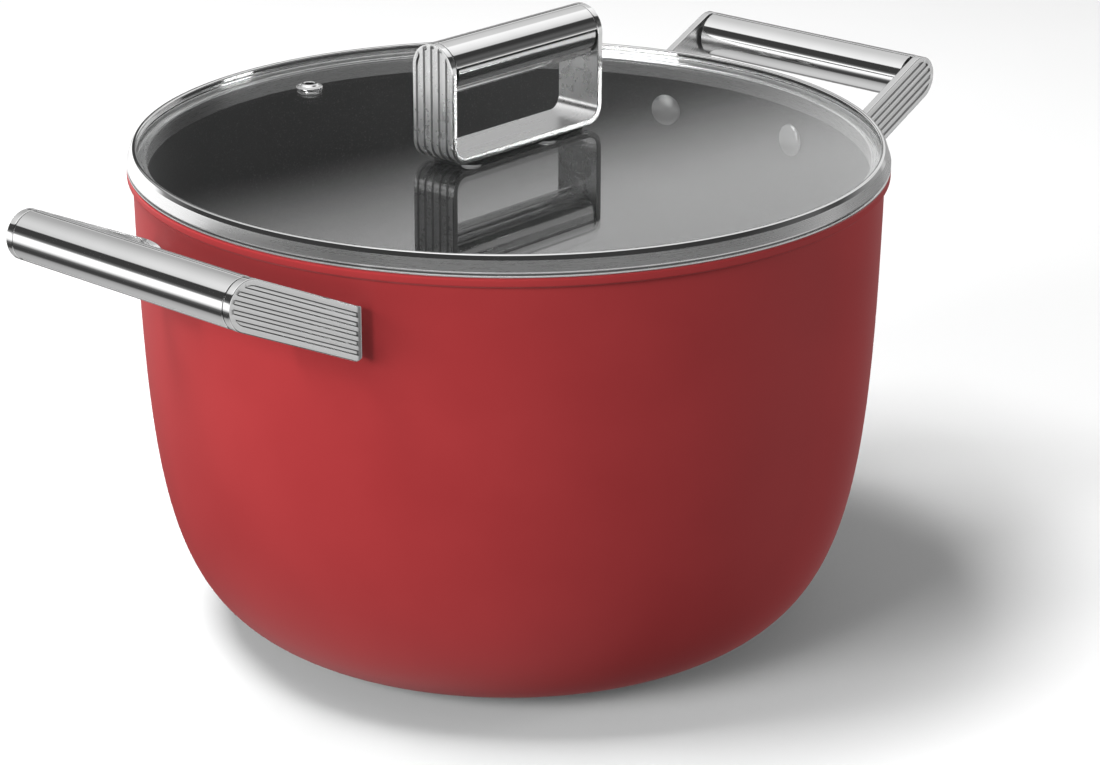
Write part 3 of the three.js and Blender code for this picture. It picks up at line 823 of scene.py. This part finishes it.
def arm_sheet():
    """The flat sheet of an arm, as (outline, hole, grooves), with the bar's axis at its origin."""
    tilt = -HANDLE_TILT
    slope = math.tan(tilt)
    edge_lift = HANDLE_RADIUS / math.cos(tilt)
    low_edge = ARM_FLAT * slope - edge_lift
    high_edge = ARM_FLAT * slope + edge_lift
    foot_top = high_edge - FOOT_DROP
    corner = 0.003
    soft = 0.002
    nose = [turned_point(*p, tilt) for p in arc((0, 0), HANDLE_RADIUS, 90, 270, 40)]
    outline = rounded([
        *sharp(nose),
        (ARM_FLAT, low_edge, soft),
        (ARM_END, low_edge, corner),
        (ARM_END, foot_top, corner),
        (ARM_BEND_END, foot_top, soft),
        (ARM_FLAT, high_edge, 0.0005),
    ])
    rivet_along = ARM_BEND_END + ARM_WALL_RADIUS * (BEND_ANGLE - RIVET_LEAN)
    hole = circle((rivet_along, RIVET_Z - HANDLE_Z), RIVET_RADIUS + GAP, SMALL_STEPS)

    # the grooves run down the tilted arm and are cut off upright, just into the bend
    into_bend = 0.0012
    stop = ARM_FLAT + into_bend
    straight = rib_grooves(
        HANDLE_RADIUS,
        ARM_RIB_BORDER,
        lambda y: (stop + y * math.sin(tilt)) / math.cos(tilt),
    )
    grooves = [reshaped(groove, lambda p: turned_point(*p, tilt)) for groove in straight]
    return outline, hole, grooves


def arms():
    outline, hole, grooves = arm_sheet()
    rounding = 0.00035
    mesh = bmesh.new()
    plate(mesh, outline, ARM_THICK, rounding, [hole], grooves)
    cuts = spread(ARM_FLAT, ARM_BEND_END, BEND_CUT) + spread(ARM_BEND_END, ARM_END, WALL_CUT)[1:-1]
    bent(mesh, on_arm, cuts)
    # the grooves' sides take the darker steel of painted shade
    rear = object_from(mesh, "right_rear_arm_metal", ARM_STEEL, POLISHED, GROOVE_SHADE_STEEL)
    front = mirrored(rear, "right_front_arm_metal")
    half_turn = Matrix.Rotation(math.pi, 4, "Z")
    pairs = [("right_rear_arm", rear), ("right_front_arm", front)]
    for node, source in (("left_front_arm", rear), ("left_rear_arm", front)):
        copy = source.copy()
        copy.name = f"{node}_metal"
        copy.matrix_world = half_turn
        bpy.context.scene.collection.objects.link(copy)
        pairs.append((node, copy))
    for node, obj in pairs:
        piece(obj, "pot", "satin_steel", node)


def mirrored(obj, name):
    """A copy of a piece mirrored across the XZ plane."""
    mesh = bmesh.new()
    mesh.from_mesh(obj.data)
    for vertex in mesh.verts:
        vertex.co.y = -vertex.co.y
    bmesh.ops.reverse_faces(mesh, faces=mesh.faces)
    return object_from(mesh, name, *obj.data.materials)


def rivets():
    """Domed heads inside the pot and outside the arm's foot, joined by a shank through both."""
    inner_seat = MOUTH_RADIUS - 0.0011
    outer_seat = ARM_WALL_RADIUS + ARM_THICK + 2 * GAP
    # (radius, height)
    inner_head = (0.006, 0.0023)
    outer_head = (0.0048, 0.0018)
    dome_steps = 10

    def dome(seat, head, side):
        radius, height = head
        brim = 0.25 * height
        points = []
        for k in range(dome_steps + 1):
            angle = math.radians(90 * k / dome_steps)
            rise = brim + (height - brim) * math.sin(angle)
            points.append(Vector((radius * math.cos(angle), seat + side * rise)))
        return points

    outline = [
        *dome(inner_seat, inner_head, -1)[::-1],
        Vector((inner_head[0], inner_seat)),
        Vector((RIVET_RADIUS, inner_seat)),
        Vector((RIVET_RADIUS, outer_seat)),
        Vector((outer_head[0], outer_seat)),
        *dome(outer_seat, outer_head, 1),
    ]
    for node, angle in (
        ("right_rear_rivet", RIVET_LEAN),
        ("right_front_rivet", -RIVET_LEAN),
        ("left_front_rivet", math.pi + RIVET_LEAN),
        ("left_rear_rivet", math.pi - RIVET_LEAN),
    ):
        obj = turned(f"{node}_metal", outline, RIVET_STEEL, SMALL_STEPS)
        lying = Matrix.Rotation(angle, 4, "Z") @ Matrix.Translation((0, 0, RIVET_Z))
        obj.matrix_world = lying @ Matrix.Rotation(math.pi / 2, 4, "Y")
        piece(obj, "pot", "satin_steel", node)


def side_bars():
    half_length = HANDLE_HALF_WIDTH - ARM_THICK
    facing = math.degrees(HANDLE_TILT)
    for name, angle in (("right", 0), ("left", math.pi)):
        matrix = Matrix.Rotation(angle, 4, "Z") @ Matrix.Translation((HANDLE_X, 0, HANDLE_Z))
        bar(name, "pot", HANDLE_RADIUS, half_length, facing, 180 - 2 * HANDLE_SEAM, matrix)


# ------------------------------------------------------------ lid

def lid_glass():
    mesh = bmesh.new()
    holes = [circle((VENT.x, VENT.y), VENT_BARREL + GAP, SMALL_STEPS)]
    holes += [circle((x, 0), BOSS_RADIUS + GAP, SMALL_STEPS) for x in (-SCREW_X, SCREW_X)]
    thickness = GLASS_TOP_Z - GLASS_LOW_Z
    rounding = 0.0006
    plate(mesh, circle((0, 0), GLASS_RADIUS, TURNED_STEPS), thickness, rounding, holes)
    for vertex in mesh.verts:
        vertex.co.z += GLASS_TOP_Z
    pane = object_from(mesh, "lid_glass_pane", GLASS)
    piece(pane, "lid", "lid_glass", "lid_glass")


def lid_rim():
    """Rolled from sheet: a skirt, a flange under the glass, a band round its edge and a bead on top."""
    flange_top = GLASS_LOW_Z - GAP
    flange_low = flange_top - RIM_SHEET
    band_low = flange_top + CREASE_DEPTH
    bead_low = GLASS_TOP_Z + GAP / 2
    crease = RIM_RADIUS - CREASE_DEPTH
    slot = GLASS_RADIUS + 0.0004
    skirt_in = SKIRT_RADIUS - RIM_SHEET
    outline = rounded([
        (SKIRT_RADIUS, flange_low, 0.0006),
        (RIM_RADIUS, flange_low, 0.00025),
        (RIM_RADIUS, flange_top, 0.0002),
        (crease, flange_top, 0),
        (crease, band_low, 0),
        (RIM_RADIUS, band_low, 0.0002),
        (RIM_RADIUS, BAND_LEAN_Z, 0.0004),
        (RIM_RADIUS - BAND_LEAN, BAND_TOP_Z, 0.0002),
        (BEAD_OUTSIDE, RIM_TOP_Z, 0.0006),
        (BEAD_INSIDE, RIM_TOP_Z, 0.0006),
        (BEAD_INSIDE, bead_low, 0.0002),
        (slot, bead_low, 0),
        (slot, flange_top, 0),
        (skirt_in, flange_top, 0.0009),
        (skirt_in, SKIRT_LOW_Z, 0.0001),
        (SKIRT_RADIUS, SKIRT_LOW_Z, 0.0001),
    ])
    rim = turned("lid_rim_metal", outline, RIM_STEEL)
    rim.visible_glossy = False
    piece(rim, "lid", "satin_steel", "lid_rim")


def vent_eyelet():
    seat = GLASS_TOP_Z + 0.00008
    under = GLASS_LOW_Z - GAP
    low_z = under - 0.0007
    top_z = seat + 0.0016
    flange = high("vent_eyelet").x - VENT.x
    under_flange = flange - 0.0004
    edge = 0.0003
    outline = rounded([
        (VENT_HOLE, low_z, edge),
        (under_flange, low_z, edge),
        (under_flange, under, 0),
        (VENT_BARREL, under, 0),
        (VENT_BARREL, seat, 0),
        (flange, seat, 0),
        (flange, seat + 0.0005, edge),
        (VENT_BARREL + 0.0006, seat + 0.0008, 0.0006),
        (VENT_BARREL, top_z, 0.0005),
        (VENT_HOLE, top_z, edge),
    ])
    eyelet = turned("vent_eyelet_metal", outline, POLISHED, SMALL_STEPS)
    eyelet.matrix_world = Matrix.Translation((VENT.x, VENT.y, 0))
    piece(eyelet, "lid", "polished_steel", "vent_eyelet")


# ------------------------------------------------------------ knob

KNOB_STRAIGHT = KNOB_AXIS_Z - STRAP_LOW_Z - KNOB_CORNER
KNOB_ARC = KNOB_CORNER * math.pi / 2
KNOB_FLOOR = 2 * (KNOB_HALF_LENGTH - KNOB_CORNER)
KNOB_TOTAL = 2 * (KNOB_STRAIGHT + KNOB_ARC) + KNOB_FLOOR


def on_strap(along, across, drop):
    """A point of the flat strip on the U, down the arm at -X, along the floor and up the other."""
    if along > KNOB_TOTAL / 2:
        point = on_strap(KNOB_TOTAL - along, across, drop)
        return Vector((-point.x, point.y, point.z))
    if along <= KNOB_STRAIGHT:
        return Vector((-KNOB_HALF_LENGTH - drop, across, KNOB_AXIS_Z - along))
    if along <= KNOB_STRAIGHT + KNOB_ARC:
        angle = math.pi + (along - KNOB_STRAIGHT) / KNOB_CORNER
        x = -KNOB_HALF_LENGTH + KNOB_CORNER + (KNOB_CORNER + drop) * math.cos(angle)
        z = STRAP_LOW_Z + KNOB_CORNER + (KNOB_CORNER + drop) * math.sin(angle)
        return Vector((x, across, z))
    x = -KNOB_FLOOR / 2 + along - KNOB_STRAIGHT - KNOB_ARC
    return Vector((x, across, STRAP_LOW_Z - drop))


def knob_strap():
    nose = arc((0, 0), KNOB_HALF_WIDTH, 90, 270, 40)

    def far_end(point):
        return Vector((KNOB_TOTAL - point.x, point.y))

    outline = nose + [far_end(p) for p in nose[::-1]]
    grooves = rib_grooves(KNOB_HALF_WIDTH, RIB_BORDER, lambda y: KNOB_STRAIGHT + KNOB_ARC)
    grooves += [reshaped(groove, far_end) for groove in grooves]
    rounding = 0.0003
    mesh = bmesh.new()
    plate(mesh, outline, KNOB_SHEET, rounding, (), grooves)
    bend = spread(KNOB_STRAIGHT, KNOB_STRAIGHT + KNOB_ARC, BEND_CUT)
    bent(mesh, on_strap, bend + [KNOB_TOTAL - x for x in bend])

    boss_low = GLASS_LOW_Z + GAP
    boss_high = STRAP_LOW_Z + 0.0003
    bore_top = STRAP_LOW_Z - 0.0004
    for x in (-SCREW_X, SCREW_X):
        boss = rounded([
            (SCREW_HOLE, boss_low, 0.0002),
            (BOSS_RADIUS, boss_low, 0.0003),
            (BOSS_RADIUS, boss_high, 0),
            (0, boss_high, 0),
            (0, bore_top, 0),
            (SCREW_HOLE, bore_top, 0),
        ])
        post = bmesh.new()
        turn(post, boss, SMALL_STEPS)
        bmesh.ops.translate(post, verts=post.verts, vec=(x, 0, 0))
        add_mesh(mesh, post)
    # the grooves' sides take the darker steel of painted shade
    strap = object_from(mesh, "knob_strap_metal", STRAP_STEEL, POLISHED, GROOVE_SHADE_STEEL)
    piece(strap, "lid", "satin_steel", "knob_strap")


def add_mesh(mesh, other):
    """Put a second bmesh into the first, and free it."""
    data = bpy.data.meshes.new("joined")
    other.to_mesh(data)
    other.free()
    mesh.from_mesh(data)
    bpy.data.meshes.remove(data)


def knob_gasket():
    corner = 0.003
    rounding = 0.0002
    x, y = high("knob_gasket").xy
    outline = rounded([(x, y, corner), (-x, y, corner), (-x, -y, corner), (x, -y, corner)], 10)
    holes = [circle((side, 0), BOSS_RADIUS + 0.0002, SMALL_STEPS) for side in (-SCREW_X, SCREW_X)]
    squeezed_gap = 0.00005
    settled_low = GLASS_TOP_Z + squeezed_gap
    settled_high = STRAP_LOW_Z - squeezed_gap
    mesh = bmesh.new()
    plate(mesh, outline, settled_high - settled_low, rounding, holes)
    for vertex in mesh.verts:
        vertex.co.z += settled_high
    piece(object_from(mesh, "knob_gasket_pad", SILICONE), "lid", "silicone", "knob_gasket")


def knob_fixings():
    washer_top = high("knob_right_washer").z
    washer_low = low("knob_right_washer").z
    washer_radius = high("knob_right_washer").x - SCREW_X
    washer = rounded([
        (SCREW_HOLE, washer_low, 0.0002),
        (washer_radius, washer_low, 0.0004),
        (washer_radius, washer_top, 0.0002),
        (SCREW_HOLE, washer_top, 0),
    ])
    seat = washer_low - GAP
    head_height = seat - low("knob_right_screw").z
    shank = high("knob_right_screw").z - seat
    slot_turn = math.radians(18)
    for name, x, side in (("left", -SCREW_X, -1), ("right", SCREW_X, 1)):
        ring = turned(f"knob_{name}_washer_ring", washer, SILICONE, SMALL_STEPS)
        ring.matrix_world = Matrix.Translation((x, 0, 0))
        piece(ring, "lid", "silicone", f"knob_{name}_washer")
        screw = screw_object(f"knob_{name}_screw_metal", head_height, shank)
        screw.matrix_world = Matrix.Translation((x, 0, seat)) @ Matrix.Rotation(side * slot_turn, 4, "Z")
        piece(screw, "lid", "satin_steel", f"knob_{name}_screw")


def screw_object(name, head_height, shank):
    """A pan-head screw pointing up, with its head's seat at height 0 and a cross recess below."""
    reach, half_slot = 0.0019, 0.00045
    arm = ((reach, -half_slot), (reach, half_slot), (half_slot, half_slot))
    cross = [turned_point(*point, math.radians(90 * k)) for k in range(4) for point in arm]
    recess_width = 0.0008
    recess_depth = 0.0012
    rounding = 0.0008
    recess = (lambda inset: moved_in(cross, inset), recess_width)
    mesh = bmesh.new()
    head = circle((0, 0), SCREW_HEAD_RADIUS, SMALL_STEPS)
    plate(mesh, head, head_height, rounding, (), [recess], recess_depth)
    for vertex in mesh.verts:
        vertex.co.y = -vertex.co.y
        vertex.co.z = -vertex.co.z - head_height

    thread_pitch = 0.0005
    turns = int(shank / thread_pitch)
    crest, root = 0.0015, 0.0013
    inside_head = -0.0003
    profile = [(0, inside_head), (root, inside_head)]
    for k in range(turns):
        profile += [(root, thread_pitch * k), (crest, thread_pitch * (k + 0.5))]
    profile += [(root, thread_pitch * turns), (0, shank)]
    rod = bmesh.new()
    turn(rod, [Vector(point) for point in profile], SMALL_STEPS)
    add_mesh(mesh, rod)
    return object_from(mesh, name, TUBE_STEEL)


def knob_bar():
    matrix = Matrix.Translation((0, 0, KNOB_AXIS_Z)) @ Matrix.Rotation(math.pi / 2, 4, "Z")
    half_length = KNOB_HALF_LENGTH - KNOB_SHEET
    bar("knob", "lid", KNOB_HALF_WIDTH, half_length, 90, 180 - 2 * KNOB_SEAM, matrix)


# ------------------------------------------------------------ floor, light and camera

def studio_floor():
    """A pale floor that the steel doesn't mirror and that throws no light back on the pot."""
    mesh = bmesh.new()
    half = 12
    corners = ((-half, -half), (half, -half), (half, half), (-half, half))
    mesh.faces.new([mesh.verts.new((x, y, 0)) for x, y in corners])
    finish = material("pale_floor")
    graph = Graph(finish)
    clouds = graph.noise(graph.place(), 3, 2)
    graph.surface({
        "Base Color": graph.ramp(clouds, [(0.3, grey(0.86)), (0.7, grey(0.88))]),
        "Roughness": 0.9,
        "Specular IOR Level": 0.1,
    })
    floor = object_from(mesh, "studio_floor", finish)
    floor.visible_glossy = False
    floor.visible_diffuse = False


def studio_world():
    """The studio: what the steel and the glass mirror, an even light for the rest, and a pale backdrop.

    They mirror a box of light overhead, dark flags and a bright horizon.
    """
    world = bpy.data.worlds.new("studio")
    world.cycles.sampling_method = "NONE"
    bpy.context.scene.world = world
    graph = Graph(world)
    direction = graph.add("ShaderNodeTexCoord").outputs["Generated"]
    split = graph.add("ShaderNodeSeparateXYZ", {"Vector": direction})
    x, y, z = (split.outputs[axis] for axis in "XYZ")

    # the walls: (elevation in degrees, level) from straight down to straight up, on four sides
    walls = {
        "left": [(-90, 0.8), (-55, 0.8), (-45, 0.62), (-38, 0.45), (-34, 0.07), (-27, 0.06), (-20, 0.17),
                 (-13, 1.2), (-9, 1.5), (6, 1.5), (9, 0.3), (13, 0.14), (16, 0.06), (90, 0.05)],
        "right": [(-90, 0.05), (-46, 0.05), (-41, 0.2), (-37, 0.38), (-30, 0.48), (-23, 0.62),
                  (-15, 0.78), (2, 0.9), (6, 0.3), (10, 0.1), (18, 0.14), (26, 0.05), (90, 0.05)],
        "flag": [(-90, 0.1), (-50, 0.1), (-10, 0.16), (0, 0.4), (6, 0.3), (12, 0.08), (90, 0.05)],
        "back": [(-90, 0.1), (-45, 0.2), (-25, 0.4), (-5, 0.42), (5, 0.35), (12, 0.3), (15, 0.05),
                 (90, 0.05)],
    }
    height = graph.math("MULTIPLY_ADD", z, 0.5, 0.5)

    def wall_level(side):
        stops = [((math.sin(math.radians(e)) + 1) / 2, grey(level)) for e, level in walls[side]]
        return graph.ramp(height, stops)

    # where the sides meet, by azimuth in degrees: the three colour channels are the sides' shares
    right, flag, back, left = (1, 0, 0), (0, 1, 0), (0, 0, 1), (0, 0, 0)
    meets = [(-100, left), (-80, right), (-32, right), (-26, flag), (6, flag), (14, back), (52, back),
             (62, left)]
    turn_share = graph.math("MULTIPLY_ADD", graph.math("ARCTAN2", y, x), 0.5 / math.pi, 0.5)
    shares = graph.ramp(turn_share, [(0.5 + azimuth / 360, side) for azimuth, side in meets])
    channels = graph.add("ShaderNodeSeparateColor", {"Color": shares})
    level = wall_level("left")
    for side, channel in (("right", "Red"), ("flag", "Green"), ("back", "Blue")):
        level = graph.mixed(channels.outputs[channel], level, wall_level(side))

    # the overhead box, seen as an area on a plane one metre up
    horizon = 0.02
    rise = graph.math("MAXIMUM", z, horizon)
    plane_x = graph.math("DIVIDE", x, rise)
    plane_y = graph.math("DIVIDE", y, rise)
    skew_x, skew_y = 0.196, 0.981
    far_edge = graph.math("MULTIPLY_ADD", plane_x, skew_x, graph.math("MULTIPLY", plane_y, skew_y))
    inside = graph.math(
        "MULTIPLY",
        graph.math("MULTIPLY", graph.step(plane_x, -0.93, -0.81), graph.step(plane_y, -0.70, -0.58)),
        graph.math("MULTIPLY", graph.step(far_edge, 2.785, 2.445), graph.math("GREATER_THAN", z, horizon)),
    )
    along_y = [(-1, 0.85), (-0.5, 0.9), (-0.27, 1.08), (0.15, 1.3), (0.22, 1.3), (0.32, 0.85), (0.65, 0.8),
               (1.0, 0.75), (1.3, 0.55), (2.2, 0.45), (3, 0.45)]
    glow_stops = [((y + 1) / 4, grey(v)) for y, v in along_y]
    glow = graph.ramp(graph.math("MULTIPLY_ADD", plane_y, 0.25, 0.25), glow_stops)
    left_gain = graph.math("MULTIPLY_ADD", graph.step(plane_x, 0.5, -0.8), 0.55, 1.0)
    scaled = graph.add("ShaderNodeVectorMath", {0: glow, "Scale": left_gain}, operation="SCALE")
    near_box = scaled.outputs[0]
    far_share = graph.step(graph.math("ADD", plane_x, plane_y), 3.4, 3.8)
    box = graph.mixed(far_share, near_box, (1, 1, 1, 1))
    mirrored_world = graph.add("ShaderNodeBackground", {"Color": graph.mixed(inside, level, box)})

    even = graph.add("ShaderNodeBackground", {"Color": (1, 1, 1, 1), "Strength": 0.25})
    backdrop = graph.add("ShaderNodeBackground", {"Color": (1, 1, 1, 1), "Strength": 0.95})
    path = graph.add("ShaderNodeLightPath")
    lit = graph.add("ShaderNodeMixShader", {
        0: path.outputs["Is Glossy Ray"], 1: even.outputs[0], 2: mirrored_world.outputs[0],
    })
    seen = graph.add("ShaderNodeMixShader", {
        0: path.outputs["Is Camera Ray"], 1: lit.outputs[0], 2: backdrop.outputs[0],
    })
    graph.add("ShaderNodeOutputWorld", {"Surface": seen.outputs[0]})


def lamp(name, position, target, size, power):
    data = bpy.data.lights.new(name, "AREA")
    data.shape = "RECTANGLE"
    data.size, data.size_y = size
    data.energy = power
    obj = bpy.data.objects.new(name, data)
    obj.location = position
    obj.rotation_euler = (Vector(target) - Vector(position)).to_track_quat("-Z", "Y").to_euler()
    obj.visible_glossy = False
    bpy.context.scene.collection.objects.link(obj)


def studio_lamps():
    """Soft lamps: a steep one left of the view, a low one at its front left and a dim one at its right."""
    # (name, azimuth, elevation, brightness of a white wall that faces it, size)
    lamps = (
        ("key_lamp", 138, 71, 1.05, (0.9, 0.9)),
        ("front_lamp", 178, 24, 0.8, (1.0, 0.8)),
        ("edge_lamp", 322, 12, 0.28, (0.5, 0.7)),
    )
    distance = 2.2
    for name, azimuth, elevation, level, size in lamps:
        around = math.radians(azimuth)
        up = math.radians(elevation)
        reach = distance * math.cos(up)
        position = (reach * math.cos(around), reach * math.sin(around), distance * math.sin(up))
        lamp(name, position, (0, 0, 0.08), size, level * (math.pi * distance) ** 2)


def camera():
    data = bpy.data.cameras.new("camera")
    data.sensor_width = 36
    data.lens = 104.36
    data.shift_x = -0.0055
    data.shift_y = -0.006
    obj = bpy.data.objects.new("camera", data)
    position = (-0.8103, -0.7375, 0.5033)
    forward = Vector((0.7013, 0.6186, -0.3541))
    roll = math.radians(0.273)
    upright = forward.to_track_quat("-Z", "Y").to_matrix().to_4x4()
    obj.matrix_world = Matrix.Translation(position) @ upright @ Matrix.Rotation(roll, 4, "Z")
    bpy.context.scene.collection.objects.link(obj)
    bpy.context.scene.camera = obj


# ------------------------------------------------------------ assembly

pot_body()
induction_base()
arms()
rivets()
side_bars()
lid_glass()
lid_rim()
vent_eyelet()
knob_strap()
knob_gasket()
knob_fixings()
knob_bar()
studio_floor()
studio_world()
studio_lamps()
camera()

view_settings = bpy.context.scene.view_settings
view_settings.view_transform = "Standard"
view_settings.look = "None"
